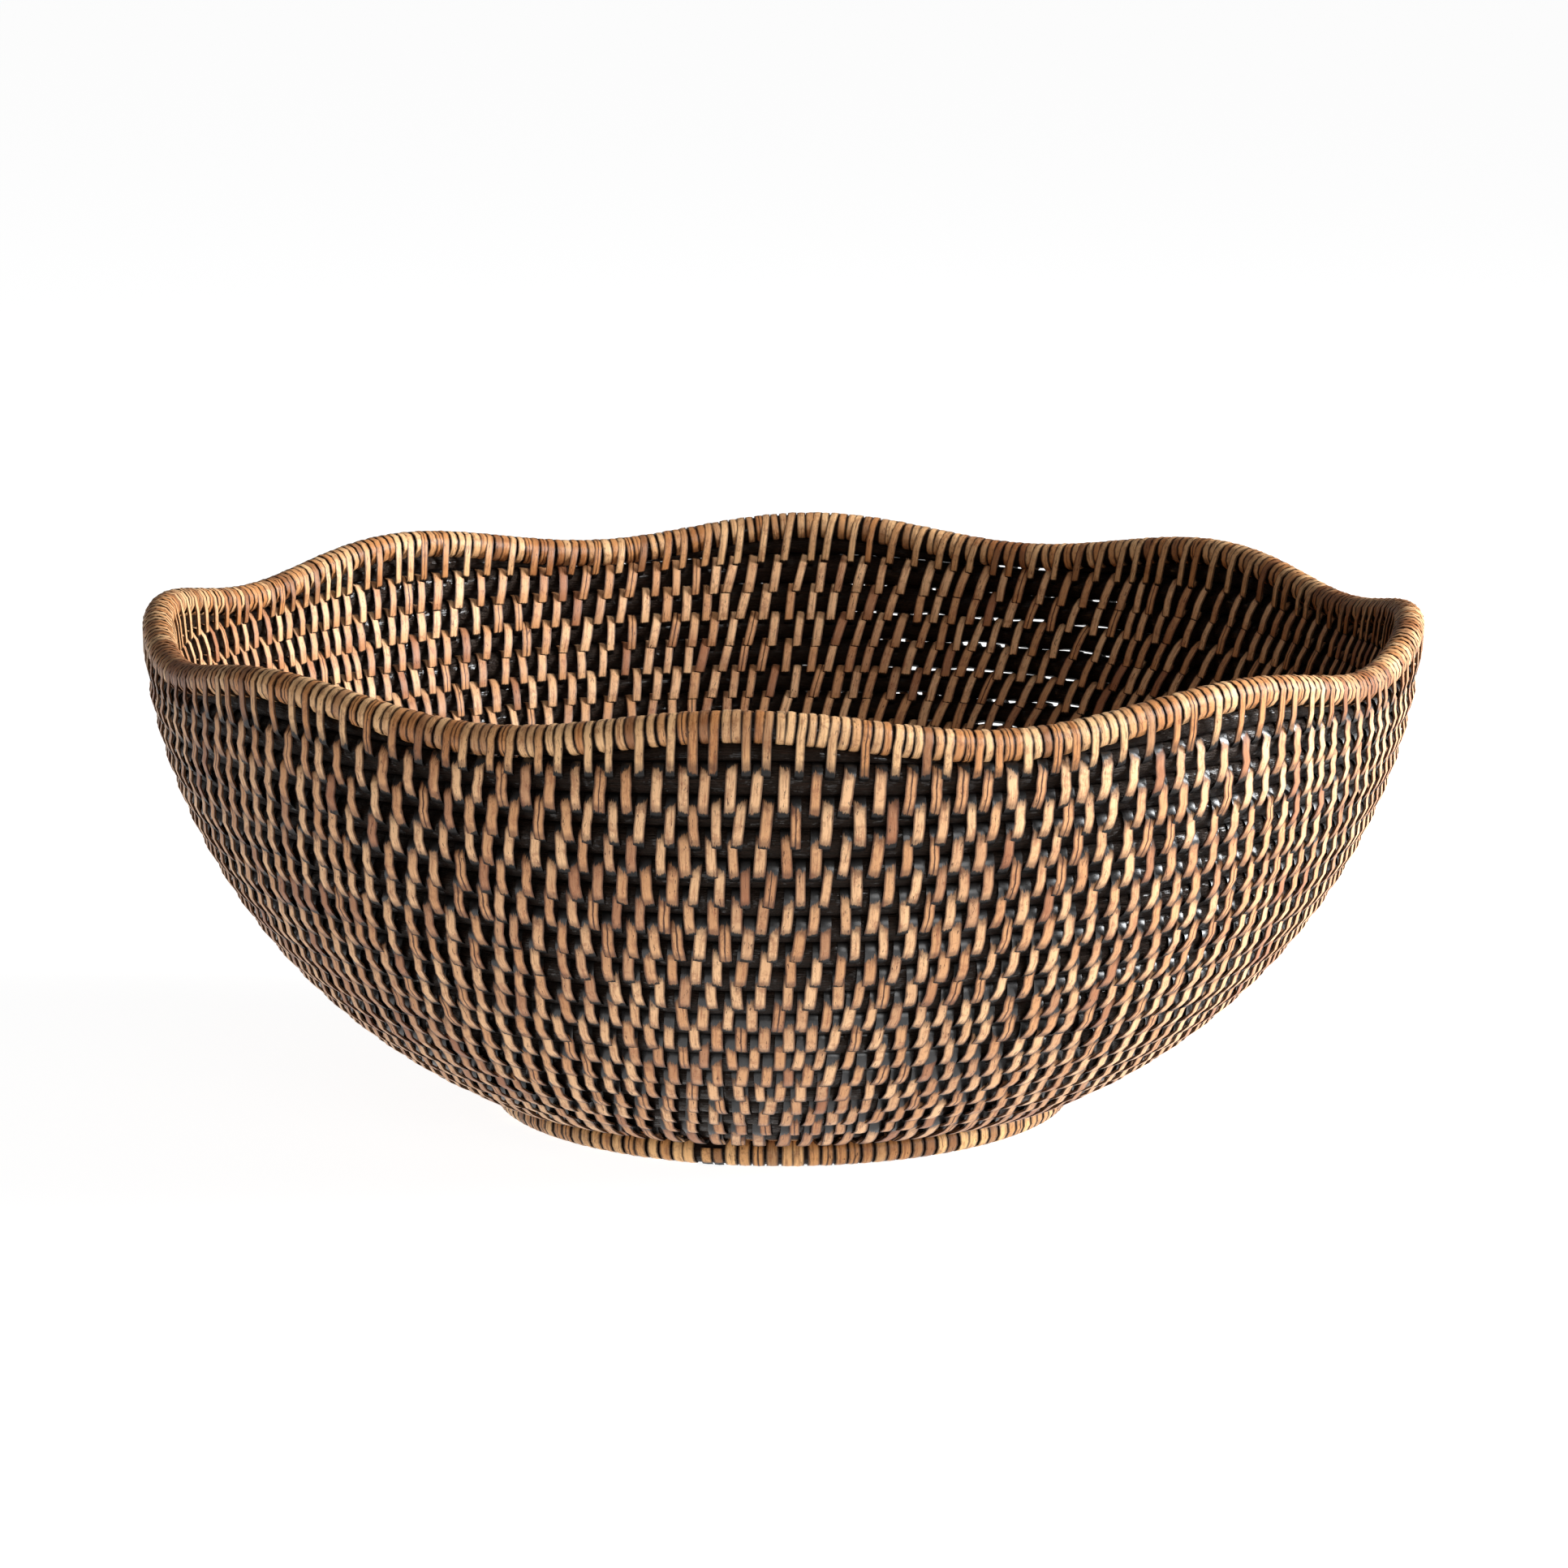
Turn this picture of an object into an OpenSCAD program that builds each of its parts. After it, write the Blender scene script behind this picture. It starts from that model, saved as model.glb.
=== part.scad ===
// Woven fruit basket: a round coiled bowl with a scalloped rim, standing on a low foot ring.
// Dark rattan rods lie on each other as hoops, and pale splints lash each hoop to the one below.
// Z points up. The origin is on the floor, under the middle of the bowl.

/* [Rim] */
// Radius of the rim rod's centre line
rim_radius = 190; // [180:1:200]
// Radius of the rim over its wrapping
rim_wrapped_radius = 4.66; // [4.2:0.02:5]
// Lobes around the rim
lobes = 8; // [6:1:10]
// Rise of a lobe's crest above the rim's middle height
lobe_rise = 3.8; // [2:0.1:3.8]
// How far a lobe's crest leans out
lobe_flare = 0.6; // [0:0.1:1]

/* [Wall] */
// Hoops in the wall, below the rim
wall_rows = 18; // [16:1:18]
// Distance between neighbouring hoops, measured along the wall
row_pitch = 9.25; // [8.6:0.05:9.4]
// Radius of the wall's curve, through the centres of the hoops
curve_radius = 166.6; // [160:0.2:172]
// Angle below the curve's centre at which the rim lies
rim_angle = 5.75; // [4:0.25:8]

/* [Splints] */
// Thickness of the splints that lash the hoops
splint_thickness = 0.7; // [0.5:0.05:0.9]

/* [Foot] */
// Radius of the foot ring over its wrapping
foot_wrapped_radius = 4.5; // [4:0.1:5]
// How much of the foot ring's underside is flattened
foot_flat = 0.3; // [0.2:0.05:0.4]

/* [Hidden] */
$fn = 64;
// Play left between neighbouring pieces
play = 0.05;
// Radius of a lashed hoop, and the same for the two hoops squeezed under the rim
lashed_radius = row_pitch / 2 - play / 2;
first_squeeze = [0.89, 0.935];
// Share of the rim's wave that the hoops under it still follow
wave_share = [0.24, 0.08];
// Sides of a swept tube, and its stations around the bowl
tube_sides = 10;
tube_stations = 96;
// Stations along one filler, and the rim wave's value at which a filler ends
filler_stations = 12;
filler_end_wave = -0.6;
// Share of the gap under the rim that a filler takes up
filler_fill = 0.9;
// How far the foot ring's centre line lies inside the base's outer hoop
foot_inset = 2.9;
// How far the wall's lowest hoop lies above the base
base_step = 1.8;
// Least radius at which a hoop can still be bent
least_bend = 7.6;

// Distance along the wall from the rim down to the first hoop: they touch in the rim's hollows
rim_step = rim_wrapped_radius + row_radius(1) + lobe_rise * (1 - wave_share[0]) + play;
foot_height = foot_wrapped_radius - foot_flat;
last_angle = wall_angle(row_distance(wall_rows));
centre_radius = rim_radius - curve_radius * cos(rim_angle);
base_edge = centre_radius + curve_radius * cos(last_angle) - row_pitch;
base_turns = floor((base_edge - least_bend) / row_pitch) + 1;
foot_radius = base_edge - foot_inset;
base_height = foot_height + play + sqrt(pow(foot_wrapped_radius + lashed_radius, 2) - pow(foot_inset, 2));
centre_height = base_height + base_step + curve_radius * sin(last_angle);
heart_radius = base_radius(base_turns) - lashed_radius - play;

WALL_RODS = [for (row = [1:wall_rows]) str("wall_rod_", row)];
WALL_LASHINGS = [for (row = [1:wall_rows]) str("wall_lashing_", row)];
BASE_RODS = [for (turn = [1:base_turns]) str("base_rod_", turn)];
RIM_PARTS = ["rim_rod", "rim_wrapping", "lobe_fillers"];
BASE_PARTS = ["base_lashing", "base_heart", "foot_rod", "foot_wrapping"];

// Lashed radius of a wall hoop
function row_radius(row) = lashed_radius * (row <= len(first_squeeze) ? first_squeeze[row - 1] : 1);
// Radius of the bare rod inside a lashed hoop
function rod_radius(row) = row_radius(row) - splint_thickness - play;
// Distance down the wall from the rim's middle height to a hoop
function row_distance(row) = rim_step + row_pitch * (row - 1);
// Rise of a hoop at the lobes' crests
function row_rise(row) = row <= len(wave_share) ? lobe_rise * wave_share[row - 1] : 0;
// Angle on the wall's curve at a distance down the wall
function wall_angle(distance) = rim_angle + distance / curve_radius * 180 / PI;
// Radius and height of the wall's curve at a distance down the wall
function wall_point(distance) = [
    centre_radius + curve_radius * cos(wall_angle(distance)),
    centre_height - curve_radius * sin(wall_angle(distance))
];
// The rim's wave: 1 on a lobe's crest and -1 in a hollow
function wave(angle) = cos(lobes * angle);
// Radius and height of a wavy hoop's centre at an angle around the bowl
function wavy_centre(angle, distance, rise) =
    wall_point(distance - rise * wave(angle)) + [lobe_flare * rise / lobe_rise * wave(angle), 0];
function base_radius(turn) = base_edge - row_pitch * (turn - 1);

// Corners of one station of a swept tube, in the upright plane at an angle around the bowl
function station(angle, centre, radius) = [
    for (side = [0:tube_sides - 1])
        let (turn = 360 * (side + 0.5) / tube_sides, out = centre[0] + radius * cos(turn))
            [out * cos(angle), out * sin(angle), centre[1] + radius * sin(turn)]
];
// The two triangles between neighbouring sides of two stations, as offsets into the points
function patch(from, to, side) = let (next = (side + 1) % tube_sides) [
    [from + side, from + next, to + side],
    [from + next, to + next, to + side]
];

// A closed tube that follows the rim's wave
module wavy_tube(distance, rise, radius) {
    corners = [
        for (i = [0:tube_stations - 1])
            let (angle = 360 * i / tube_stations)
                each station(angle, wavy_centre(angle, distance, rise), radius)
    ];
    faces = [
        for (i = [0:tube_stations - 1], side = [0:tube_sides - 1])
            each patch(i * tube_sides, (i + 1) % tube_stations * tube_sides, side)
    ];
    polyhedron(points = corners, faces = faces, convexity = 4);
}

// A closed ring with a round section
module round_hoop(radius, height, section) {
    translate([0, 0, height])
        rotate_extrude($fn = 128)
            translate([radius, 0])
                circle(r = section);
}

// A closed ring of splints around a round hoop
module round_lashing(radius, height, section) {
    translate([0, 0, height])
        rotate_extrude($fn = 128)
            translate([radius, 0])
                difference() {
                    circle(r = section);
                    circle(r = section - splint_thickness);
                }
}

// Gap between the rim and the first hoop at an angle: the middle of it and half its width
function gap_top(angle) = rim_wrapped_radius - lobe_rise * wave(angle);
function gap_bottom(angle) = row_distance(1) - row_rise(1) * wave(angle) - row_radius(1);
function gap_middle(angle) = (gap_top(angle) + gap_bottom(angle)) / 2;
function gap_half(angle) = (gap_bottom(angle) - gap_top(angle)) / 2;

// The rod that fills the gap under one lobe, tapering into the hollows on both sides
module lobe_filler(crest) {
    reach = acos(filler_end_wave) / lobes;
    corners = [
        for (i = [0:filler_stations])
            let (angle = crest + reach * (2 * i / filler_stations - 1))
                each station(angle, wall_point(gap_middle(angle)), filler_fill * gap_half(angle))
    ];
    sides = [
        for (i = [0:filler_stations - 1], side = [0:tube_sides - 1])
            each patch(i * tube_sides, (i + 1) * tube_sides, side)
    ];
    last = filler_stations * tube_sides;
    start_cap = [for (side = [tube_sides - 1:-1:0]) side];
    end_cap = [for (side = [0:tube_sides - 1]) last + side];
    polyhedron(points = corners, faces = concat(sides, [start_cap, end_cap]), convexity = 4);
}

module rim_rod() {
    color([0.10, 0.06, 0.04])
        wavy_tube(0, lobe_rise, rim_wrapped_radius - splint_thickness - play);
}

module rim_wrapping() {
    color([0.78, 0.60, 0.40])
        difference() {
            wavy_tube(0, lobe_rise, rim_wrapped_radius);
            wavy_tube(0, lobe_rise, rim_wrapped_radius - splint_thickness);
        }
}

module lobe_fillers() {
    color([0.10, 0.06, 0.04])
        for (lobe = [0:lobes - 1])
            lobe_filler(360 * lobe / lobes);
}

module wall_rod(row) {
    place = wall_point(row_distance(row));
    color([0.10, 0.06, 0.04])
        if (row_rise(row) > 0) {
            wavy_tube(row_distance(row), row_rise(row), rod_radius(row));
        } else {
            round_hoop(place[0], place[1], rod_radius(row));
        }
}

module wall_lashing(row) {
    place = wall_point(row_distance(row));
    color([0.80, 0.64, 0.46])
        if (row_rise(row) > 0) {
            difference() {
                wavy_tube(row_distance(row), row_rise(row), row_radius(row));
                wavy_tube(row_distance(row), row_rise(row), row_radius(row) - splint_thickness);
            }
        } else {
            round_lashing(place[0], place[1], row_radius(row));
        }
}

module base_rod(turn) {
    color([0.10, 0.06, 0.04])
        round_hoop(base_radius(turn), base_height, lashed_radius - splint_thickness - play);
}

module base_lashing() {
    color([0.80, 0.64, 0.46])
        for (turn = [1:base_turns])
            round_lashing(base_radius(turn), base_height, lashed_radius);
}

// The curled start of the coil, in the middle of the base
module base_heart() {
    rod = lashed_radius - splint_thickness;
    color([0.10, 0.06, 0.04])
        translate([0, 0, base_height])
            rotate_extrude()
                intersection() {
                    union() {
                        translate([heart_radius - rod, 0])
                            circle(r = rod);
                        translate([0, -rod])
                            square([heart_radius - rod, 2 * rod]);
                    }
                    translate([0, -rod])
                        square([heart_radius, 2 * rod]);
                }
}

module foot_rod() {
    color([0.10, 0.06, 0.04])
        round_hoop(foot_radius, foot_height, foot_wrapped_radius - splint_thickness - play);
}

// The foot's wrapping, worn flat where it stands on the floor
module foot_wrapping() {
    color([0.77, 0.63, 0.43])
        rotate_extrude($fn = 128)
            translate([foot_radius, foot_height])
                difference() {
                    intersection() {
                        circle(r = foot_wrapped_radius);
                        translate([-foot_wrapped_radius, -foot_height])
                            square([2 * foot_wrapped_radius, foot_height + foot_wrapped_radius]);
                    }
                    circle(r = foot_wrapped_radius - splint_thickness);
                }
}

rim_rod();
rim_wrapping();
lobe_fillers();
for (row = [1:wall_rows]) {
    wall_rod(row);
    wall_lashing(row);
}
for (turn = [1:base_turns]) {
    base_rod(turn);
}
base_lashing();
base_heart();
foot_rod();
foot_wrapping();
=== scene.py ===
"""A coiled rattan fruit basket: dark hoops lashed with pale splints, a scalloped rim and a foot ring."""

import math

import bmesh
import bpy
import numpy as np
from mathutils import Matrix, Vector


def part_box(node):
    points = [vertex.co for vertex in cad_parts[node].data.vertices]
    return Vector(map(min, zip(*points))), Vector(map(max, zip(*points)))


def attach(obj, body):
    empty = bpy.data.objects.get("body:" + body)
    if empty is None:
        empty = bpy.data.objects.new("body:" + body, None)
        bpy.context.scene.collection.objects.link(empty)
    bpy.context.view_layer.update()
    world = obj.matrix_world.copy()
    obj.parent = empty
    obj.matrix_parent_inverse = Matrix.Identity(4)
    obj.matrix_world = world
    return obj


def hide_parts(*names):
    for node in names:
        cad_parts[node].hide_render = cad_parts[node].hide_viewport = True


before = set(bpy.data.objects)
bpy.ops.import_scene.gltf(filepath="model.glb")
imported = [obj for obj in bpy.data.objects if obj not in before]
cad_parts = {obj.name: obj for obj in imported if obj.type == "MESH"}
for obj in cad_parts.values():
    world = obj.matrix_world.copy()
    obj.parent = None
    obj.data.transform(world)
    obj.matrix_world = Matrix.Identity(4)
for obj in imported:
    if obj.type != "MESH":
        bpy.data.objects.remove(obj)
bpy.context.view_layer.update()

# ---------------------------------------------------------------- sizes, in metres

MM = 0.001
LOBES = 8
# Radii of the bare rods in the frame that follow the rim's wave
RIM_ROD = 3.91 * MM
SQUEEZED_RODS = {1: 3.344 * MM, 2: 3.551 * MM}
LOBE_FLARE = 0.6 * MM
LOBE_RISE = 3.8 * MM

SPLINT_WIDTH = 3.15 * MM
SPLINT_THICK = 0.75 * MM
# Half of a lashed rod's thickness through the wall
ROD_DEPTH = 3.35 * MM
# How far a splint's middle stands out from the middle of its rod, and how far it clears the rod's top
LASH_REACH = 4.15 * MM
SEAT = 0.15 * MM
# How far a splint wanders from its form
SPLINT_UNEVENNESS = 0.25 * MM
# How far touching rods are pressed into each other, and how far apart the loose ones are
PRESSED = 0.1 * MM
SLACK = 1.1 * MM
# How far a bent rod wanders out of the wall and up it, and the shares by which its thickness varies
WANDER_OUT = 0.12 * MM
WANDER_UP = 0.07 * MM
TALL_VARIES = 0.006
DEPTH_VARIES = 0.02
# The rods under the lobes: the rim wave's value where they end, and their least half height
FILLER_END_WAVE = -0.9
FILLER_EDGE = 0.4 * MM
FILLER_STATIONS = 40
FILLER_SIDES = 14
# Wraps along the rim and the foot, and how unevenly they are spaced, as shares of a wrap
RIM_WRAP_PITCH = 2.85 * MM
FOOT_WRAP_PITCH = 4.05 * MM
RIM_WRAP_SCATTER = 0.055
FOOT_WRAP_SCATTER = 0.04
# Share of the long rim wraps that follow two short ones, where the others follow one
TWO_SHORT_WRAPS = 0.6
# How far a long rim wrap stands out past the short ones, and how far the foot's wraps stay off the floor
LONG_WRAP_PROUD = 0.12 * MM
FLOOR_PLAY = 0.1 * MM
# Wall rows that share one count of stitches, as (last row of the group, millimetres between stitches)
STITCH_GROUPS = [(7, 7.35), (10, 6.9), (13, 6.95), (15, 7.0), (18, 6.95)]
BASE_SPACING = 7.0 * MM
# How unevenly stitches are spaced: a slow drift, and a scatter as a share of the space between two
STITCH_DRIFT = 0.008
STITCH_SCATTER = 0.07
# How far a stitch strays from its place between the two above it, as an angle around the basket
STITCH_STRAY = 0.0019
# How far a stitch sits along the space between the two above it, on odd and even rows
STAGGER = [0.41, 0.65]
# Middle and spread of the loosely woven side, as angles around the basket
LOOSE_SIDE = math.radians(71)
LOOSE_SPREAD = math.radians(15)
# Where the foot's wrapping is spliced, and how far the strap over it stands out
SPLICE = math.radians(256.7)
STRAP_PROUD = 0.35 * MM
# The stretch left without wraps, and where its strap and short ends sit, in wraps from the splice
SPLICE_BEFORE = -1.3
SPLICE_AFTER = 1.9
STRAP_AT = -0.6
SHORT_ENDS_AT = [0.75, 1.62]
SHORT_END_COVER = 0.8
SEED = 20

# Lights, floor and camera
FLOOR_REACH = 30.0
FLOOR_TONE = 0.3
FLOOR_GLOW = 0.93
SKY_GLOW = 0.14
KEY_PLACE = (1.48, 0.02, 0.7)
KEY_SIZE = (0.95, 0.85)
KEY_POWER = 69.0
KEY_COLOUR = (0.96, 0.98, 1.0)
FRONT_PLACE = (0.9, -1.8, 0.6)
FRONT_SIZE = (1.0, 0.8)
FRONT_POWER = 11.5
VIEW_TURN = math.radians(3.2)
VIEW_TILT = math.radians(78.99)
VIEW_DISTANCE = 1.5945
VIEW_HEIGHT = 0.4086
VIEW_LENS = 121.06
VIEW_SHIFT = 0.0011
WHITE = (1.0, 1.0, 1.0, 1.0)

MATERIALS = {}


def harmonics(rng, angles, lowest, highest):
    """A smooth closed ripple around the basket, between about -1 and 1."""
    total = np.zeros_like(angles)
    for order in range(lowest, highest + 1):
        total += rng.normal() * np.cos(order * angles + rng.uniform(0, 2 * math.pi))
    return total / math.sqrt(highest - lowest + 1)


# ---------------------------------------------------------------- hoops


class Hoop:
    """A hoop of the coil: its centre line, and the ways out of the wall and up it."""

    def __init__(self, node, rod=None):
        low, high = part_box(node)
        rod = rod or (high[2] - low[2]) / 2
        self.rise = (high[2] - low[2]) / 2 - rod
        self.flare = LOBE_FLARE * self.rise / LOBE_RISE
        self.radius = high[0] - rod - self.flare
        self.height = (high[2] + low[2]) / 2
        self.rod = rod
        self.up = np.array([0.0, 1.0])

    def middle(self):
        """The hoop's mean place, as its radius and height."""
        return np.array([self.radius, self.height])

    def centre(self, angles):
        """Points on the centre line."""
        wave = np.cos(LOBES * angles)
        radius = self.radius + (self.flare + self.rise * self.up[0]) * wave
        height = self.height + self.rise * self.up[1] * wave
        return np.stack([radius * np.cos(angles), radius * np.sin(angles), height], axis=1)

    def axes(self, angles):
        """Unit vectors out of the wall and up it, both square to the hoop's run."""
        step = 1e-4
        run = self.centre(angles + step) - self.centre(angles - step)
        run /= np.linalg.norm(run, axis=1)[:, None]
        out = np.stack(
            [self.up[1] * np.cos(angles), self.up[1] * np.sin(angles), np.full_like(angles, -self.up[0])],
            axis=1,
        )
        up = np.cross(out, run)
        up /= np.linalg.norm(up, axis=1)[:, None]
        return np.cross(run, up), up


def count_nodes(stem):
    """How many nodes of the frame have names that begin with the stem."""
    return sum(1 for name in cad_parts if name.startswith(stem))


rim = Hoop("rim_rod", RIM_ROD)
wall = [Hoop(f"wall_rod_{row}", SQUEEZED_RODS.get(row)) for row in range(1, count_nodes("wall_rod_") + 1)]
base = [Hoop(f"base_rod_{turn}") for turn in range(1, count_nodes("base_rod_") + 1)]
foot = Hoop("foot_rod")
PITCH = float(np.linalg.norm(wall[8].middle() - wall[9].middle()))

# The curled start of the coil is a hoop as well, with hardly any hole
heart = Hoop("base_heart")
heart.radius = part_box("base_heart")[1][0] - PITCH / 2

chain = [rim] + wall + base + [heart]
for place, hoop in enumerate(chain[:-1]):
    above = chain[max(place - 1, 0)].middle()
    below = chain[place + 1].middle()
    hoop.up = (above - below) / np.linalg.norm(above - below)
heart.up = base[-1].up
rim.radius -= rim.rise * rim.up[0]
for hoop in wall[:2]:
    hoop.radius -= hoop.rise * hoop.up[0]


def half_heights(hoop, angles):
    """Half of a lashed rod's height along the wall: each rod is pressed against its neighbours."""
    place = chain.index(hoop)
    nearby = [chain[place + 1]] if hoop is not heart else [chain[place - 1]]
    if place > 1 and hoop is not heart:
        nearby.append(chain[place - 1])
    reach = [np.linalg.norm(other.centre(angles) - hoop.centre(angles), axis=1) / 2 for other in nearby]
    return np.mean(reach, axis=0) + PRESSED


# ---------------------------------------------------------------- meshes


def new_piece(name, mesh):
    """A mesh put in the scene."""
    piece = bpy.data.objects.new(name, mesh)
    bpy.context.scene.collection.objects.link(piece)
    return piece


def grid_faces(rows, columns, closed):
    """Corner numbers of the quads of a tube, and the row and column of each quad."""
    row, column = np.meshgrid(np.arange(rows if closed else rows - 1), np.arange(columns), indexing="ij")
    row, column = row.ravel(), column.ravel()
    after, beside = (row + 1) % rows, (column + 1) % columns
    near, far = row * columns, after * columns
    quads = np.stack([near + column, far + column, far + beside, near + beside], axis=1)
    return quads, row, column


def tube(name, centres, outs, ups, depths, talls, sides, closed=True):
    """A tube swept through centres, with a map of the metres along it and around it."""
    turns = 2 * math.pi * np.arange(sides) / sides
    points = (
        centres[:, None, :]
        + outs[:, None, :] * (depths[:, None] * np.cos(turns))[..., None]
        + ups[:, None, :] * (talls[:, None] * np.sin(turns))[..., None]
    )
    rows = len(centres)
    quads, row, column = grid_faces(rows, sides, closed)
    faces = quads.tolist()
    if not closed:
        faces.append(list(range(sides)))
        faces.append([(rows - 1) * sides + side for side in reversed(range(sides))])
    mesh = bpy.data.meshes.new(name)
    mesh.from_pydata(points.reshape(-1, 3).tolist(), [], faces)
    steps = np.linalg.norm(np.roll(centres, -1, axis=0) - centres, axis=1)
    run = np.concatenate([[0.0], np.cumsum(steps)])
    girth = 2 * math.pi * float(np.mean(depths)) / sides
    along = np.stack([run[row], run[row + 1], run[row + 1], run[row]], axis=1)
    around = np.stack([column, column, column + 1, column + 1], axis=1) * girth
    corners = np.stack([along.ravel(), around.ravel()], axis=1)
    if not closed:
        corners = np.concatenate([corners, np.zeros((2 * sides, 2))])
    layer = mesh.uv_layers.new(name="grain")
    layer.data.foreach_set("uv", corners.ravel())
    mesh.polygons.foreach_set("use_smooth", np.ones(len(mesh.polygons), dtype=bool))
    mesh.update()
    return mesh


def hoop_piece(name, hoop, seed, stations=360, sides=16, depth=ROD_DEPTH, tall=None):
    """A rod bent into a hoop, a little uneven as a hand-bent rod is."""
    rng = np.random.default_rng(SEED + seed)
    angles = 2 * math.pi * np.arange(stations) / stations
    centres = hoop.centre(angles)
    outs, ups = hoop.axes(angles)
    centres += outs * (WANDER_OUT * harmonics(rng, angles, 5, 22))[:, None]
    centres += ups * (WANDER_UP * harmonics(rng, angles, 9, 30))[:, None]
    talls = half_heights(hoop, angles) if tall is None else np.full(stations, tall)
    talls = talls * (1 + TALL_VARIES * harmonics(rng, angles, 12, 40))
    if hoop in wall[1:6]:
        # The weave is loose on one side of the upper wall, where light shows between the hoops
        patchy = (0.25 + 0.8 * harmonics(rng, angles, 12, 60)).clip(0, 1)
        talls -= SLACK * patchy * np.exp(-(((angles - LOOSE_SIDE) / LOOSE_SPREAD) ** 2))
    depths = depth * (1 + DEPTH_VARIES * harmonics(rng, angles, 12, 40))
    return new_piece(name, tube(name, centres, outs, ups, depths, talls, sides))


def filler_pieces(name):
    """The tapered rods under the lobes, between the wrapped rim and the first hoop."""
    combined = bmesh.new()
    reach = math.acos(FILLER_END_WAVE) / LOBES
    for lobe in range(LOBES):
        angles = 2 * math.pi * lobe / LOBES + reach * np.linspace(-1, 1, FILLER_STATIONS)
        outs, ups = rim.axes(angles)
        top = rim.centre(angles) - ups * RIM_ROD
        bottom = wall[0].centre(angles) + ups * half_heights(wall[0], angles)[:, None]
        talls = np.einsum("ij,ij->i", top - bottom, ups) / 2
        talls = np.maximum(talls + PRESSED, FILLER_EDGE)
        depths = 0.4 * ROD_DEPTH + 0.6 * talls
        part = tube(name, (top + bottom) / 2, outs, ups, depths, talls, FILLER_SIDES, closed=False)
        combined.from_mesh(part)
        bpy.data.meshes.remove(part)
    mesh = bpy.data.meshes.new(name)
    combined.to_mesh(mesh)
    combined.free()
    return new_piece(name, mesh)


# ---------------------------------------------------------------- node trees


class Wire:
    """An output socket with arithmetic."""

    def __init__(self, net, socket):
        self.net = net
        self.socket = socket

    def maths(self, operation, *others):
        return self.net.add("ShaderNodeMath", {"operation": operation}, dict(enumerate(others)))

    def __add__(self, other):
        return self.maths("ADD", self, other)

    def __sub__(self, other):
        return self.maths("SUBTRACT", self, other)

    def __rsub__(self, other):
        return self.maths("SUBTRACT", other, self)

    def __mul__(self, other):
        return self.maths("MULTIPLY", self, other)

    __radd__ = __add__
    __rmul__ = __mul__

    def larger(self, other):
        return self.maths("MAXIMUM", self, other)

    def distance_from(self, value):
        return (self - value).maths("ABSOLUTE", self - value)

    def between(self, low, high, start=0.0, end=1.0):
        """Rises smoothly from start to end as the value goes from low to high."""
        values = {"Value": self, "From Min": low, "From Max": high, "To Min": start, "To Max": end}
        return self.net.add("ShaderNodeMapRange", {"interpolation_type": "SMOOTHSTEP"}, values)


class Net:
    """Adds nodes to a tree: a type, then its settings, then its values and links."""

    def __init__(self, tree):
        self.tree = tree

    def add(self, kind, settings=None, values=None, output=0):
        node = self.tree.nodes.new(kind)
        for key, value in (settings or {}).items():
            setattr(node, key, value)
        for key, value in (values or {}).items():
            self.fill(self.find(node, key), value)
        return Wire(self, self.pick(node.outputs, output))

    @staticmethod
    def pick(sockets, key):
        if isinstance(key, int):
            return [socket for socket in sockets if socket.enabled][key]
        return next(socket for socket in sockets if socket.name == key and socket.enabled)

    def find(self, node, key):
        if isinstance(key, int):
            return node.inputs[key]
        return self.pick(node.inputs, key)

    def fill(self, socket, value):
        if isinstance(value, Wire):
            self.tree.links.new(value.socket, socket)
        else:
            socket.default_value = value

    def mix(self, factor, first, second):
        values = {"Factor": factor, "A": first, "B": second}
        return self.add("ShaderNodeMix", {"data_type": "RGBA"}, values)

    def noise(self, vector, scale, detail=2.0, roughness=0.5, output=0):
        values = {"Vector": vector, "Scale": scale, "Detail": detail, "Roughness": roughness}
        return self.add("ShaderNodeTexNoise", {}, values, output)

    def vector(self, x, y, z=0.0):
        return self.add("ShaderNodeCombineXYZ", {}, {"X": x, "Y": y, "Z": z})

    def vectors(self, operation, *values):
        return self.add("ShaderNodeVectorMath", {"operation": operation}, dict(enumerate(values)))


def rgb(red, green, blue):
    """A colour from its screen values, 0 to 255, as a linear colour with alpha."""
    def linear(value):
        value /= 255
        return value / 12.92 if value <= 0.04045 else ((value + 0.055) / 1.055) ** 2.4

    return (linear(red), linear(green), linear(blue), 1.0)


def new_material(name):
    """A material with one Principled shader: its net and that shader's node."""
    material = bpy.data.materials.new(name)
    material.use_nodes = True
    MATERIALS[name] = material
    tree = material.node_tree
    shader = next(node for node in tree.nodes if node.type == "BSDF_PRINCIPLED")
    return Net(tree), shader


# Where the lacquer at a splint's top gives way to its pale inner face
INNER_CAP = 0.565


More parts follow.
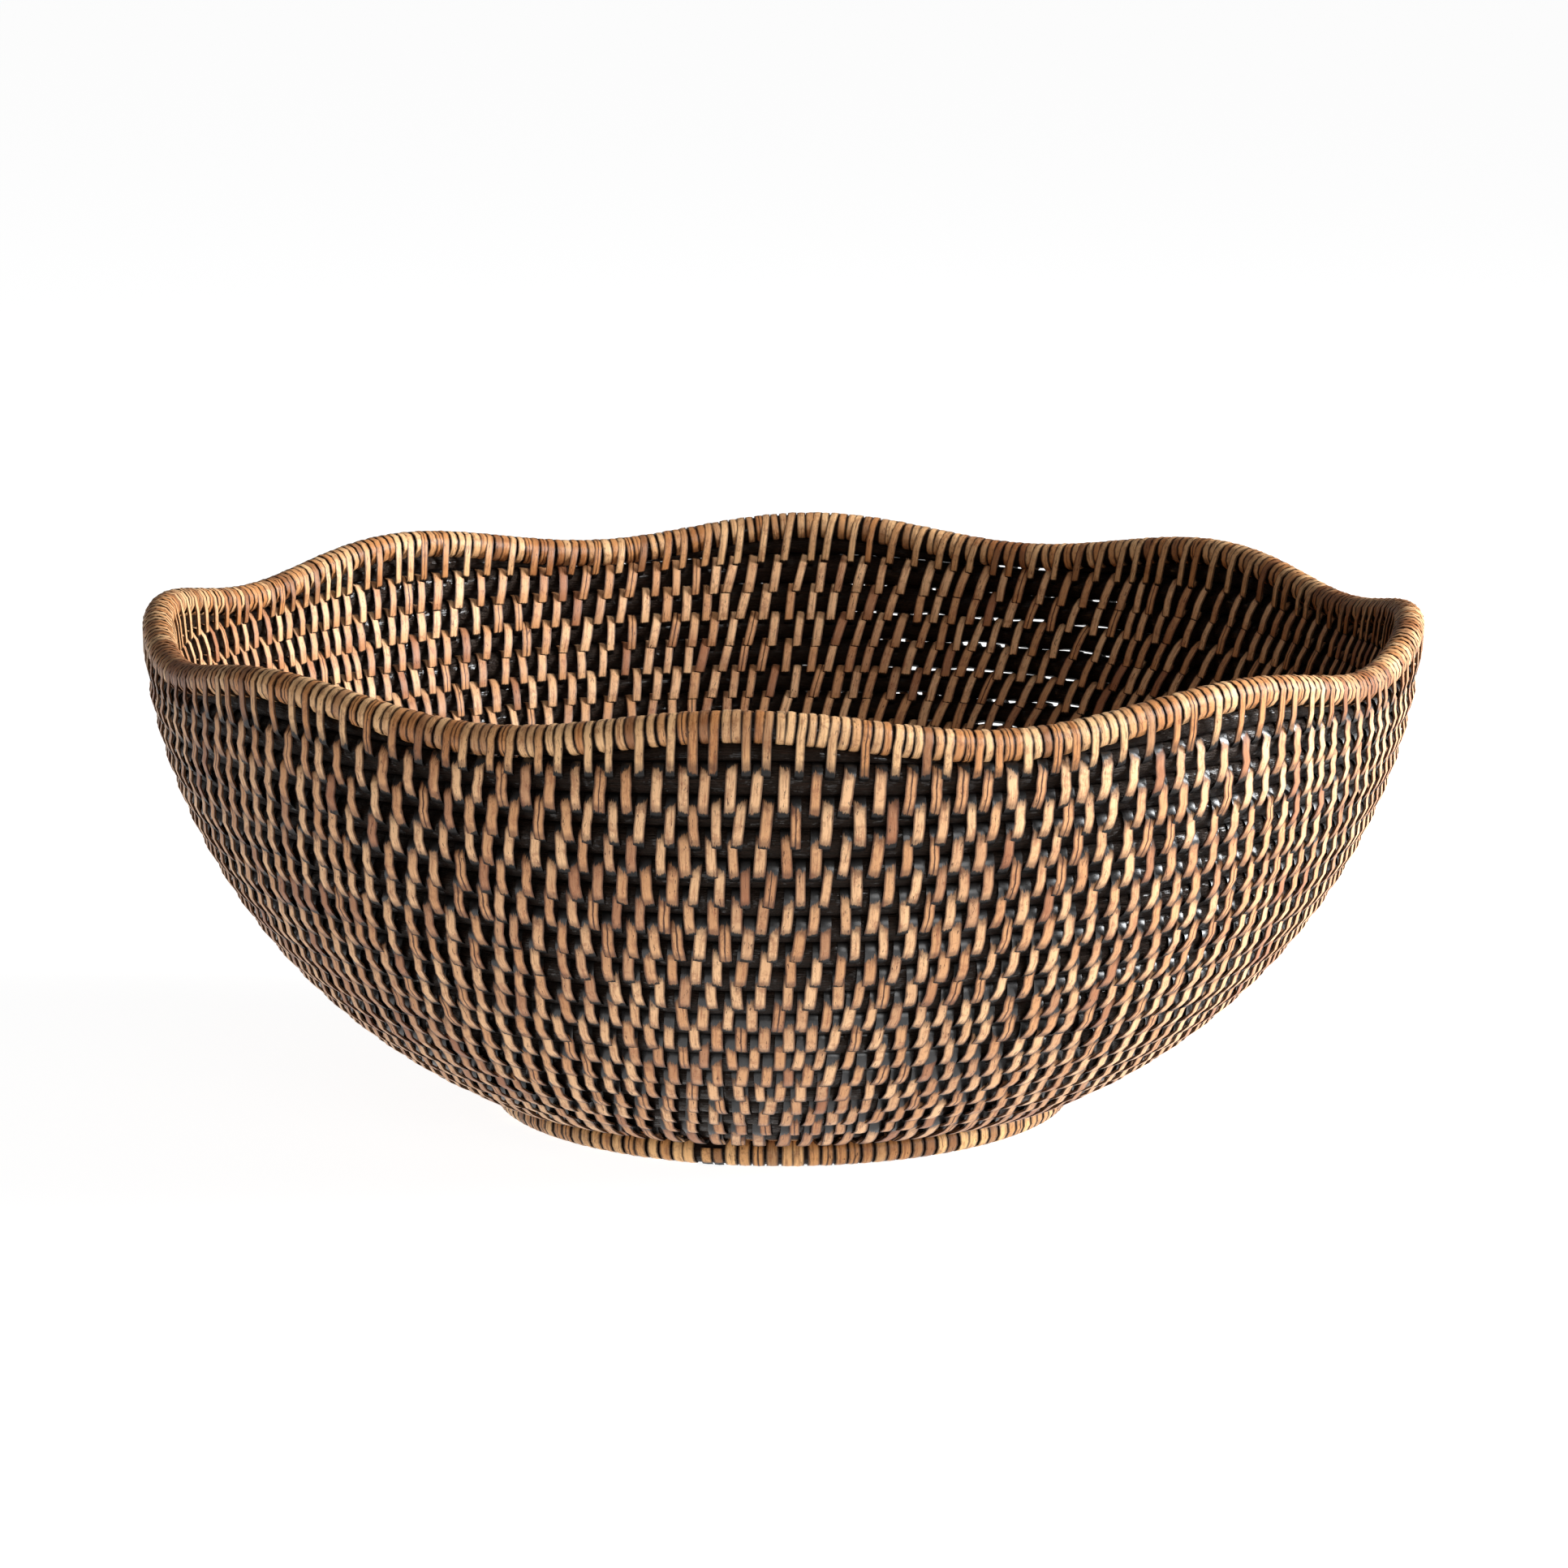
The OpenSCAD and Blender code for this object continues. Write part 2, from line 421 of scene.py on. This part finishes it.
def splint_material(name, pale, warm, brown, scorch, gloss, stain):
    """Split rattan: fibre streaks, flecks, a tone of its own for each splint, and lacquered ends."""
    net, shader = new_material(name)
    splint_map = net.add("ShaderNodeUVMap", {"uv_map": "splint"})
    face = net.add("ShaderNodeSeparateXYZ", {}, {0: splint_map}).socket.node
    across, along = Wire(net, face.outputs[0]), Wire(net, face.outputs[1])
    tone = net.add("ShaderNodeAttribute", {"attribute_name": "tone"}, {}, "Fac")
    cap = net.add("ShaderNodeAttribute", {"attribute_name": "cap"}, {}, "Fac")
    place = net.add("ShaderNodeTexCoord", {}, {}, "Object")

    streaks = net.noise(net.vector(across * 4.0, along * 4.0, tone * 60.0), 1.0, 5.0, 0.7)
    fine = net.noise(net.vector(across * 16.0, along * 9.0, tone * 90.0), 1.0, 3.0, 0.65)
    mottle = net.noise(place, 330.0, 4.0, 0.7)
    drift = net.noise(place, 30.0, 2.0, 0.5)
    fleck = net.noise(net.vector(across * 5.0, along * 11.0, tone * 130.0), 1.0, 3.0, 0.75)

    colour = net.mix(tone.between(0.15, 0.7), warm, pale)
    colour = net.mix(tone.between(0.84, 0.97) * 0.85, colour, brown)
    colour = net.mix(streaks.between(0.48, 0.70) * 0.7, colour, brown)
    colour = net.mix(mottle.between(0.48, 0.68) * 0.55, colour, brown)
    colour = net.mix(drift.between(0.5, 0.68) * stain, colour, brown)
    colour = net.mix(fine.between(0.42, 0.25) * 0.5, colour, pale)
    colour = net.mix(fine.between(0.58, 0.72) * 0.6, colour, scorch)
    colour = net.mix(fleck.between(0.60, 0.68) * 0.85, colour, scorch)
    edge = across.distance_from(streaks * 0.1 + 0.45).between(0.27, 0.47)
    colour = net.mix(edge * 0.85, colour, scorch)
    split = across.distance_from(streaks * 0.3 + 0.35).between(0.09, 0.04) * tone.between(0.12, 0.09)
    colour = net.mix(split * 0.9, colour, scorch)
    # Lacquer has soaked into the upper end and the lower tip
    soaked = (along + (mottle - 0.5) * 0.12).between(cap - 0.08, cap).larger(along.between(0.16, 0.10))
    colour = net.mix(soaked * along.between(0.53, 0.51) * 0.55, colour, scorch)

    ragged = (streaks - 0.5) * 0.07 + (fine - 0.5) * 0.10
    # The lacquer stops on a slant, to the left on some splints and to the right on others
    slant = (across - 0.5) * (tone * 7.0).maths("SINE", tone * 31.0) * 0.06
    edge_at = along + ragged + slant
    capped = edge_at.between(cap - 0.008, cap + 0.008) * along.between(0.53, 0.51)
    inner_slant = along + ragged + (across - 0.5) * 0.07
    inner_cap = inner_slant.between(INNER_CAP + 0.008, INNER_CAP - 0.008) * along.between(0.49, 0.51)
    capped = capped.larger(inner_cap * cap.between(1.0, 0.9))
    tip_end = 0.066 + tone * 0.028
    tip = (along + ragged * 0.7 + slant * 0.5).between(tip_end + 0.006, tip_end - 0.006)
    tip = tip.larger((along + ragged * 0.3).between(0.93, 0.945))
    dark = capped.larger(tip)
    lacquer = net.mix(mottle.between(0.4, 0.7), rgb(6, 4, 3), rgb(20, 13, 10))
    colour = net.mix(dark, colour, lacquer)

    net.fill(shader.inputs["Roughness"], (0.5 - gloss) + streaks * 0.2)
    net.fill(shader.inputs["Coat Weight"], capped * (mottle.between(0.3, 0.6) * 0.2 + 0.8))
    shader.inputs["Coat Roughness"].default_value = 0.26
    shader.inputs["Specular IOR Level"].default_value = 0.3
    net.fill(shader.inputs["Base Color"], colour)
    height = streaks * 0.8 + fine * 0.8 + mottle * 0.5
    bump = net.add("ShaderNodeBump", {}, {"Strength": 0.6, "Distance": 0.2 * MM, "Height": height})
    net.fill(shader.inputs["Normal"], bump)


def rod_material(name, deep, light, gloss):
    """Dark lacquered rattan rod with long fibres."""
    net, shader = new_material(name)
    grain = net.add("ShaderNodeUVMap", {"uv_map": "grain"})
    place = net.add("ShaderNodeTexCoord", {}, {}, "Object")
    long_fibre = net.noise(net.vectors("MULTIPLY", grain, (70.0, 1500.0, 1.0)), 1.0, 4.0, 0.7)
    fibre = net.noise(net.vectors("MULTIPLY", grain, (220.0, 4200.0, 1.0)), 1.0, 2.0, 0.6)
    blotch = net.noise(place, 300.0, 4.0, 0.7)
    colour = net.mix(long_fibre.between(0.4, 0.75), deep, light)
    colour = net.mix(blotch.between(0.45, 0.75) * 0.6, colour, deep)
    net.fill(shader.inputs["Base Color"], colour)
    net.fill(shader.inputs["Roughness"], gloss + long_fibre * 0.22 + blotch * 0.1)
    shader.inputs["Specular IOR Level"].default_value = 0.18
    shader.inputs["Specular Tint"].default_value = (1.0, 0.72, 0.56, 1.0)
    net.fill(shader.inputs["Coat Weight"], blotch.between(0.5, 0.62) * fibre.between(0.45, 0.6) * 0.8)
    shader.inputs["Coat Roughness"].default_value = 0.12
    height = long_fibre + fibre * 0.8 + blotch * 0.8
    bump = net.add("ShaderNodeBump", {}, {"Strength": 1.0, "Distance": 0.5 * MM, "Height": height})
    net.fill(shader.inputs["Normal"], bump)


splint_material(
    "splint", rgb(238, 190, 142), rgb(208, 152, 104), rgb(154, 95, 62), rgb(60, 27, 14), 0.16, 0.45
)
splint_material(
    "rim_splint", rgb(232, 185, 134), rgb(196, 135, 83), rgb(130, 75, 40), rgb(42, 19, 8), 0.2, 0.7
)
splint_material(
    "foot_splint", rgb(244, 193, 132), rgb(208, 149, 92), rgb(130, 78, 44), rgb(30, 13, 6), 0.2, 0.5
)
rod_material("dark_rod", rgb(5, 3, 2), rgb(28, 15, 9), 0.22)

# ---------------------------------------------------------------- splints and how they repeat


def band(name, path, drops, width, thick, closed=False):
    """One splint bent along a path of (out, along the hoop, up) points, as the form that is repeated."""
    path = np.array(path, dtype=float)
    if closed:
        heading = np.roll(path, -1, axis=0) - np.roll(path, 1, axis=0)
        steps = np.linalg.norm(np.roll(path, -1, axis=0) - path, axis=1)
    else:
        heading = np.gradient(path, axis=0)
        steps = np.linalg.norm(np.diff(path, axis=0), axis=1)
    length = np.hypot(heading[:, 0], heading[:, 2])
    outward = np.stack([heading[:, 2], np.zeros(len(path)), -heading[:, 0]], axis=1) / length[:, None]
    run = np.concatenate([[0.0], np.cumsum(steps)])
    if closed:
        # A wrap that goes right round has no lacquered ends, so its run stays clear of both
        run = 0.15 + 0.7 * run / run[-1]
    else:
        # The outside is the first half of the splint and the inside the second
        top = int(np.argmax(path[:, 2]))
        run = np.interp(run, [0.0, run[top], run[-1]], [0.0, 0.5, 1.0])
    # Corners of the section as shares of the width and the thickness: slightly crowned, with sharp edges
    section = np.array([(-0.5, 0.3), (0.0, 0.5), (0.5, 0.3), (0.4, -0.5), (-0.4, -0.5)])
    side = np.array([0.0, 1.0, 0.0])
    points = (
        path[:, None, :]
        + side * (section[:, 0] * width)[None, :, None]
        + outward[:, None, :] * (section[:, 1] * thick)[None, :, None]
    )
    rows, columns = len(path), len(section)
    quads, row, column = grid_faces(rows, columns, closed)
    faces = quads.tolist()
    if not closed:
        faces.append(list(range(columns)))
        faces.append([(rows - 1) * columns + corner for corner in reversed(range(columns))])
    mesh = bpy.data.meshes.new(name)
    mesh.from_pydata(points.reshape(-1, 3).tolist(), [], faces)
    share = section[:, 0] + 0.5
    beside = (column + 1) % columns
    us = np.stack([share[column], share[column], share[beside], share[beside]], axis=1).ravel()
    vs = np.stack([run[row], run[row + 1], run[row + 1], run[row]], axis=1).ravel()
    if not closed:
        us = np.concatenate([us, share, share[::-1]])
        vs = np.concatenate([vs, np.zeros(columns), np.ones(columns)])
    mesh.uv_layers.new(name="splint").data.foreach_set("uv", np.stack([us, vs], axis=1).ravel())
    mesh.polygons.foreach_set("use_smooth", np.ones(len(mesh.polygons), dtype=bool))
    corners = np.empty(2 * len(mesh.edges), dtype=np.int32)
    mesh.edges.foreach_get("vertices", corners)
    corners = corners.reshape(-1, 2) % columns
    is_sharp = (corners[:, 0] == corners[:, 1]) & (corners[:, 0] != 1)
    mesh.attributes.new("sharp_edge", "BOOLEAN", "EDGE").data.foreach_set("value", is_sharp)
    drop = mesh.attributes.new("drop", "FLOAT", "POINT")
    drop.data.foreach_set("value", np.repeat(drops, columns))
    mesh.update()
    piece = new_piece(name, mesh)
    shape = bmesh.new()
    shape.from_mesh(mesh)
    if shape.calc_volume(signed=True) < 0:
        bmesh.ops.reverse_faces(shape, faces=shape.faces)
        shape.to_mesh(mesh)
    shape.free()
    return piece


OUTER_LEAN = math.radians(3)
INNER_LEAN = math.radians(11)


def loop_path(half_out, half_up, pitch, tucks):
    """Out, along and up of a splint that goes over its own rod and tucks into the one below.

    tucks are its points below the rod on the outside, from its end upwards, as shares of the pitch.
    """
    turns = np.radians([-10, 25, 60, 90, 130, 165])
    arc = [(half_out * math.cos(turn), half_up * math.sin(turn)) for turn in turns]
    inner_tucks = [(-0.51, -0.30), (-0.48, -0.78), (-0.32, -0.98)]
    flat = [(out * pitch, up * pitch) for out, up in tucks] + arc
    flat += [(out * pitch, up * pitch) for out, up in inner_tucks]
    top = len(tucks) + int(np.argmax(np.sin(turns)))
    path = []
    for place, (out, up) in enumerate(flat):
        fall = half_up - up
        lean = -math.tan(OUTER_LEAN) if place <= top else math.tan(INNER_LEAN)
        path.append((out, lean * fall, up))
    drops = [min(max(-up / pitch - 0.1, 0) / 0.9, 1) for _, up in flat]
    return path, drops


# Where a splint tucks in below its rod, from its end upwards, as shares of the pitch out and up
SINGLE_TUCK = [(0.29, -1.16), (0.445, -0.98), (0.52, -0.70), (0.545, -0.36)]
RIM_TUCK = [(0.30, -0.98), (0.465, -0.83), (0.525, -0.45)]
DOUBLE_TUCK = [(0.30, -1.66), (0.46, -1.40), (0.53, -0.9), (0.53, -0.45)]


# Share of the rim and the foot that the wraps cover, and the turns a wrap takes around its rod
WRAP_COVER = 0.9
FOOT_WRAP_COVER = 0.86
WRAP_TURNS = 2 * math.pi * np.arange(12) / 12 - 1.8


def lash_tree():
    """Repeats a splint on each point of a hoop, turned to the wall, each a little different."""
    tree = bpy.data.node_groups.new("lash_hoop", "GeometryNodeTree")
    sockets = [
        ("Hoop", "NodeSocketGeometry"),
        ("Splint", "NodeSocketObject"),
        ("Finish", "NodeSocketMaterial"),
        ("Lean spread", "NodeSocketFloat"),
        ("Width spread", "NodeSocketFloat"),
        ("Unevenness", "NodeSocketFloat"),
        ("Seed", "NodeSocketInt"),
    ]
    for name, kind in sockets:
        tree.interface.new_socket(name, in_out="INPUT", socket_type=kind)
    tree.interface.new_socket("Splints", in_out="OUTPUT", socket_type="NodeSocketGeometry")
    net = Net(tree)
    inputs = tree.nodes.new("NodeGroupInput")
    given = {name: Wire(net, inputs.outputs[name]) for name, _ in sockets}

    def attribute(name, kind):
        return net.add("GeometryNodeInputNamedAttribute", {"data_type": kind}, {"Name": name}, "Attribute")

    def chance(low, high, salt):
        values = {"Min": low, "Max": high, "Seed": given["Seed"] + salt}
        return net.add("FunctionNodeRandomValue", {"data_type": "FLOAT"}, values, "Value")

    axes = net.add(
        "FunctionNodeAxesToRotation",
        {"primary_axis": "Z", "secondary_axis": "X"},
        {0: attribute("up", "FLOAT_VECTOR"), 1: attribute("out", "FLOAT_VECTOR")},
    )
    lean = chance(given["Lean spread"] * -1.0, given["Lean spread"], 1)
    tilt = net.add("FunctionNodeAxisAngleToRotation", {}, {"Axis": (1.0, 0.0, 0.0), "Angle": lean})
    turn = net.add(
        "FunctionNodeRotateRotation", {"rotation_space": "LOCAL"}, {"Rotation": axes, "Rotate By": tilt}
    )
    widening = chance(given["Width spread"] * -1.0, given["Width spread"], 2)
    width = attribute("wide", "FLOAT") * (1.0 + widening)
    form = net.add("GeometryNodeObjectInfo", {}, {"Object": given["Splint"]}, "Geometry")
    placed = net.add(
        "GeometryNodeInstanceOnPoints",
        {},
        {"Points": given["Hoop"], "Instance": form, "Rotation": turn, "Scale": net.vector(1.0, width, 1.0)},
    )

    def store(geometry, name, value):
        return net.add(
            "GeometryNodeStoreNamedAttribute",
            {"data_type": "FLOAT", "domain": "INSTANCE"},
            {"Geometry": geometry, "Name": name, "Value": value},
        )

    placed = store(placed, "tone", chance(0.0, 1.0, 3))
    placed = store(placed, "cap", attribute("cap", "FLOAT") + chance(-0.035, 0.02, 4))
    solid = net.add("GeometryNodeRealizeInstances", {}, {"Geometry": placed})
    reach = net.vectors("SCALE", attribute("extra", "FLOAT_VECTOR"))
    net.fill(net.pick(reach.socket.node.inputs, "Scale"), attribute("drop", "FLOAT"))
    here = net.add("GeometryNodeInputPosition")
    ripple = net.noise(here, 420.0, 1.0, 0.5, "Color")
    ripple = net.vectors("SUBTRACT", ripple, (0.5, 0.5, 0.5))
    ripple = net.vectors("SCALE", ripple)
    net.fill(net.pick(ripple.socket.node.inputs, "Scale"), given["Unevenness"])
    offset = net.vectors("ADD", reach, ripple)
    bent = net.add("GeometryNodeSetPosition", {}, {"Geometry": solid, "Offset": offset})
    done = net.add("GeometryNodeSetMaterial", {}, {"Geometry": bent, "Material": given["Finish"]})
    output = tree.nodes.new("NodeGroupOutput")
    tree.links.new(done.socket, output.inputs["Splints"])
    return tree


LASH_TREE = lash_tree()
FORMS = []


def lashed(
    name, hoop, angles, splint, finish, below=None, widths=1.0, cap=1.0, seed=0, lean=5.0, spread=0.13
):
    """The splints on a hoop at the given angles, as one plain mesh."""
    centres = hoop.centre(angles)
    outs, ups = hoop.axes(angles)
    extra = np.zeros_like(centres)
    if below is not None:
        extra = below.centre(angles) - centres + ups * PITCH
    mesh = bpy.data.meshes.new(name + "_points")
    mesh.from_pydata(centres.tolist(), [], [])
    for key, values in (("out", outs), ("up", ups), ("extra", extra)):
        mesh.attributes.new(key, "FLOAT_VECTOR", "POINT").data.foreach_set("vector", values.ravel())
    for key, value in (("wide", widths), ("cap", cap)):
        values = np.broadcast_to(np.asarray(value, dtype=float), (len(angles),))
        mesh.attributes.new(key, "FLOAT", "POINT").data.foreach_set("value", values)
    carrier = new_piece(name + "_points", mesh)
    modifier = carrier.modifiers.new("lashing", "NODES")
    modifier.node_group = LASH_TREE
    given = {
        "Splint": splint,
        "Finish": MATERIALS[finish],
        "Lean spread": math.radians(lean),
        "Width spread": spread,
        "Unevenness": SPLINT_UNEVENNESS,
        "Seed": SEED + seed * 10,
    }
    for item in LASH_TREE.interface.items_tree:
        if item.item_type == "SOCKET" and item.in_out == "INPUT" and item.name in given:
            modifier[item.identifier] = given[item.name]
    bpy.context.view_layer.update()
    graph = bpy.context.evaluated_depsgraph_get()
    result = bpy.data.meshes.new_from_object(
        carrier.evaluated_get(graph), preserve_all_data_layers=True, depsgraph=graph
    )
    bpy.data.objects.remove(carrier)
    result.name = name
    return new_piece(name, result)


def joined(name, pieces):
    """Several pieces as one."""
    bpy.ops.object.select_all(action="DESELECT")
    for piece in pieces:
        piece.select_set(True)
    bpy.context.view_layer.objects.active = pieces[0]
    bpy.ops.object.join()
    pieces[0].name = name
    return pieces[0]


def finished(piece, node, finish=None):
    """Hangs a piece on the root body, gives it the named finish if one is given, and hides the frame's node
    that it stands for.
    """
    if finish:
        piece.data.materials.clear()
        piece.data.materials.append(MATERIALS[finish])
    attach(piece, "root")
    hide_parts(node)


def staggered(angles, share):
    """Angles a share of the way from each stitch to the next, so that rows lie like bricks."""
    following = np.roll(angles, -1)
    following[-1] += 2 * math.pi
    return angles + share * (following - angles)


def evenly(rng, count):
    """Angles of hand-spaced stitches: a slow drift in spacing and a little scatter."""
    even = 2 * math.pi * (np.arange(count) + rng.uniform()) / count
    drift = STITCH_DRIFT * harmonics(rng, even, 3, 6)
    return even + drift + rng.normal(0, STITCH_SCATTER, count) * 2 * math.pi / count


# ---------------------------------------------------------------- the basket


def rim_wraps():
    """Close wraps on the rim: short ones go round the rim alone, long ones also catch the first hoop."""
    rng = np.random.default_rng(SEED + 1)
    count = round(2 * math.pi * rim.radius / RIM_WRAP_PITCH)
    angles = 2 * math.pi * np.arange(count) / count
    angles = angles + rng.normal(0, RIM_WRAP_SCATTER, count) * 2 * math.pi / count
    is_long = np.zeros(count, dtype=bool)
    place = 0
    while place < count - 2:
        is_long[place] = True
        place += 3 if rng.random() < TWO_SHORT_WRAPS else 2
    widths = 1 + rng.normal(0, 0.06, count)
    half = RIM_ROD + SPLINT_THICK / 2
    ring = [(half * math.cos(turn), 0, half * math.sin(turn)) for turn in WRAP_TURNS]
    width = RIM_WRAP_PITCH * WRAP_COVER
    short_form = band("short_wrap_form", ring, np.zeros(len(ring)), width, SPLINT_THICK, closed=True)
    path, drops = loop_path(half + LONG_WRAP_PROUD, half, PITCH, RIM_TUCK)
    long_form = band("long_wrap_form", path, drops, width, SPLINT_THICK)
    FORMS.extend([short_form, long_form])
    short = lashed("rim_short", rim, angles[~is_long], short_form, "rim_splint", widths=widths[~is_long],
                   seed=1, lean=2.5, spread=0.05)
    long = lashed("rim_long", rim, angles[is_long], long_form, "rim_splint", below=wall[0],
                  widths=widths[is_long], seed=2, lean=2.5, spread=0.05)
    finished(joined("rim_wraps", [short, long]), "rim_wrapping")
    core = hoop_piece("rim_core", rim, 100, depth=RIM_ROD, tall=RIM_ROD)
    finished(core, "rim_rod", "dark_rod")
    finished(filler_pieces("lobe_rods"), "lobe_fillers", "dark_rod")
    return angles[is_long]


def cap_of(row):
    """Where the lacquer at a splint's top begins: it reaches lower on the lower rows."""
    return float(np.interp(row, [1, 3, 5, 9], [0.41, 0.395, 0.38, 0.375]))


def wall_rows(rim_angles):
    """Every hoop of the wall with its stitches."""
    rng = np.random.default_rng(SEED + 2)
    angles = staggered(rim_angles, 0.5)
    group = 0
    for row, hoop in enumerate(wall, start=1):
        last_row, spacing = STITCH_GROUPS[group]
        if row > last_row:
            group += 1
            spacing = STITCH_GROUPS[group][1]
            angles = evenly(rng, round(2 * math.pi * hoop.radius / (spacing * MM)))
        elif 1 < row < len(wall):
            angles = staggered(angles, STAGGER[row % 2]) + rng.normal(0, STITCH_STRAY, len(angles))
        # The lowest row keeps the angles of the row above it, whose long stitches lie over its own
        below = chain[row + 1]
        tall = float(half_heights(hoop, np.zeros(1))[0])
        tucks = DOUBLE_TUCK if row == len(wall) - 1 else SINGLE_TUCK
        path, drops = loop_path(LASH_REACH, tall + SEAT, PITCH, tucks)
        form = band(f"splint_form_{row}", path, drops, SPLINT_WIDTH, SPLINT_THICK)
        FORMS.append(form)
        stitches = lashed(f"stitches_{row:02d}", hoop, angles, form, "splint", below=below,
                          cap=cap_of(row), seed=10 + row)
        finished(stitches, f"wall_lashing_{row}")
        rod = hoop_piece(f"hoop_{row:02d}", hoop, 200 + row)
        finished(rod, f"wall_rod_{row}", "dark_rod")


def base_turns():
    """The flat coil of the base, and its curled start."""
    rng = np.random.default_rng(SEED + 3)
    path, drops = loop_path(LASH_REACH, PITCH / 2, PITCH, SINGLE_TUCK)
    form = band("base_splint_form", path, drops, SPLINT_WIDTH, SPLINT_THICK)
    FORMS.append(form)
    stitches = []
    for turn, hoop in enumerate(base, start=1):
        angles = evenly(rng, round(2 * math.pi * hoop.radius / BASE_SPACING))
        below = chain[len(wall) + turn + 1]
        stitches.append(lashed(f"base_stitches_{turn}", hoop, angles, form, "splint", below=below,
                               cap=0.4, seed=40 + turn))
        rod = hoop_piece(f"base_hoop_{turn}", hoop, 300 + turn)
        finished(rod, f"base_rod_{turn}", "dark_rod")
    finished(joined("base_stitches", stitches), "base_lashing")
    finished(hoop_piece("base_curl", heart, 320), "base_heart", "dark_rod")


def foot_path(reach, turns):
    """A wrap's points around the foot's rod, standing out by reach and kept off the floor."""
    half = foot.rod + SPLINT_THICK / 2
    floor_gap = foot.height - SPLINT_THICK / 2 - FLOOR_PLAY
    return [(reach * math.cos(turn), 0, max(half * math.sin(turn), -floor_gap)) for turn in turns]


def foot_form(name, path, width, closed=True):
    """A splint of the foot's wrapping, as the form that is repeated."""
    form = band(name, path, np.zeros(len(path)), width, SPLINT_THICK, closed=closed)
    FORMS.append(form)
    return form


def foot_ring():
    """The foot ring under its close wraps."""
    rng = np.random.default_rng(SEED + 4)
    girth = foot.radius + foot.rod
    count = round(2 * math.pi * girth / FOOT_WRAP_PITCH)
    scatter = rng.normal(0, FOOT_WRAP_SCATTER, count)
    angles = 2 * math.pi * np.arange(count) / count + scatter * 2 * math.pi / count
    half = foot.rod + SPLINT_THICK / 2
    form = foot_form("foot_wrap_form", foot_path(half, WRAP_TURNS), FOOT_WRAP_PITCH * FOOT_WRAP_COVER)
    # The wrapping starts and ends at a splice: a strap over its end, a bare gap, and two short ends
    away = (angles - SPLICE) * girth
    angles = angles[(away < SPLICE_BEFORE * FOOT_WRAP_PITCH) | (away > SPLICE_AFTER * FOOT_WRAP_PITCH)]
    wraps = lashed("foot_wraps", foot, angles, form, "foot_splint", seed=60, lean=1.5, spread=0.04)
    strap_form = foot_form("strap_form", foot_path(half + STRAP_PROUD, WRAP_TURNS), FOOT_WRAP_PITCH)
    end_path = foot_path(half, np.radians([-62, -40, -18, 4, 24]))
    end_form = foot_form("short_end_form", end_path, FOOT_WRAP_PITCH * SHORT_END_COVER, closed=False)
    spacing = FOOT_WRAP_PITCH / girth
    strap_angle = np.array([SPLICE + STRAP_AT * spacing])
    strap = lashed("strap", foot, strap_angle, strap_form, "foot_splint", seed=61, lean=1.0)
    end_angles = SPLICE + spacing * np.array(SHORT_ENDS_AT)
    ends = lashed("short_ends", foot, end_angles, end_form, "foot_splint", seed=62, lean=2.0)
    finished(joined("foot_wraps", [wraps, strap, ends]), "foot_wrapping")
    core = hoop_piece("foot_core", foot, 400, depth=foot.rod, tall=foot.rod)
    finished(core, "foot_rod", "dark_rod")


wall_rows(rim_wraps())
base_turns()
foot_ring()
for form in FORMS:
    bpy.data.objects.remove(form)

# ---------------------------------------------------------------- studio


def area_light(name, place, target, size, power, colour=(1.0, 1.0, 1.0)):
    """A flat soft light at a place, turned to its target."""
    data = bpy.data.lights.new(name, "AREA")
    data.shape = "RECTANGLE"
    data.size, data.size_y = size
    data.energy = power
    data.color = colour
    light = bpy.data.objects.new(name, data)
    bpy.context.scene.collection.objects.link(light)
    light.location = place
    light.rotation_euler = (Vector(target) - Vector(place)).to_track_quat("-Z", "Y").to_euler()


def studio():
    """A white floor that fills the view, a strong light on the right, and a weak one at the front."""
    net, shader = new_material("studio_floor")
    shader.inputs["Base Color"].default_value = (FLOOR_TONE, FLOOR_TONE, FLOOR_TONE, 1.0)
    shader.inputs["Roughness"].default_value = 1.0
    shader.inputs["Specular IOR Level"].default_value = 0.0
    shader.inputs["Emission Color"].default_value = WHITE
    shader.inputs["Emission Strength"].default_value = FLOOR_GLOW
    mesh = bpy.data.meshes.new("studio_floor")
    corners = [(x * FLOOR_REACH, y * FLOOR_REACH, 0) for x, y in ((-1, -1), (1, -1), (1, 1), (-1, 1))]
    mesh.from_pydata(corners, [], [(0, 1, 2, 3)])
    mesh.materials.append(MATERIALS["studio_floor"])
    new_piece("studio_floor", mesh)

    world = bpy.data.worlds.new("studio")
    world.use_nodes = True
    sky = world.node_tree.nodes["Background"]
    sky.inputs["Color"].default_value = WHITE
    sky.inputs["Strength"].default_value = SKY_GLOW
    bpy.context.scene.world = world
    bpy.context.scene.view_settings.view_transform = "Standard"

    area_light("key", KEY_PLACE, (0, 0, 0.06), KEY_SIZE, KEY_POWER, KEY_COLOUR)
    area_light("front_right", FRONT_PLACE, (0, 0, 0.07), FRONT_SIZE, FRONT_POWER)


def camera():
    """Eleven degrees above level, a lobe's crest just left of the middle of the near rim."""
    data = bpy.data.cameras.new("camera")
    data.sensor_width = 36.0
    data.lens = VIEW_LENS
    data.shift_x = VIEW_SHIFT
    data.clip_end = 100.0
    view = bpy.data.objects.new("camera", data)
    bpy.context.scene.collection.objects.link(view)
    across, back = math.sin(VIEW_TURN), math.cos(VIEW_TURN)
    view.location = (VIEW_DISTANCE * across, -VIEW_DISTANCE * back, VIEW_HEIGHT)
    view.rotation_euler = (VIEW_TILT, 0.0, VIEW_TURN)
    bpy.context.scene.camera = view


studio()
camera()
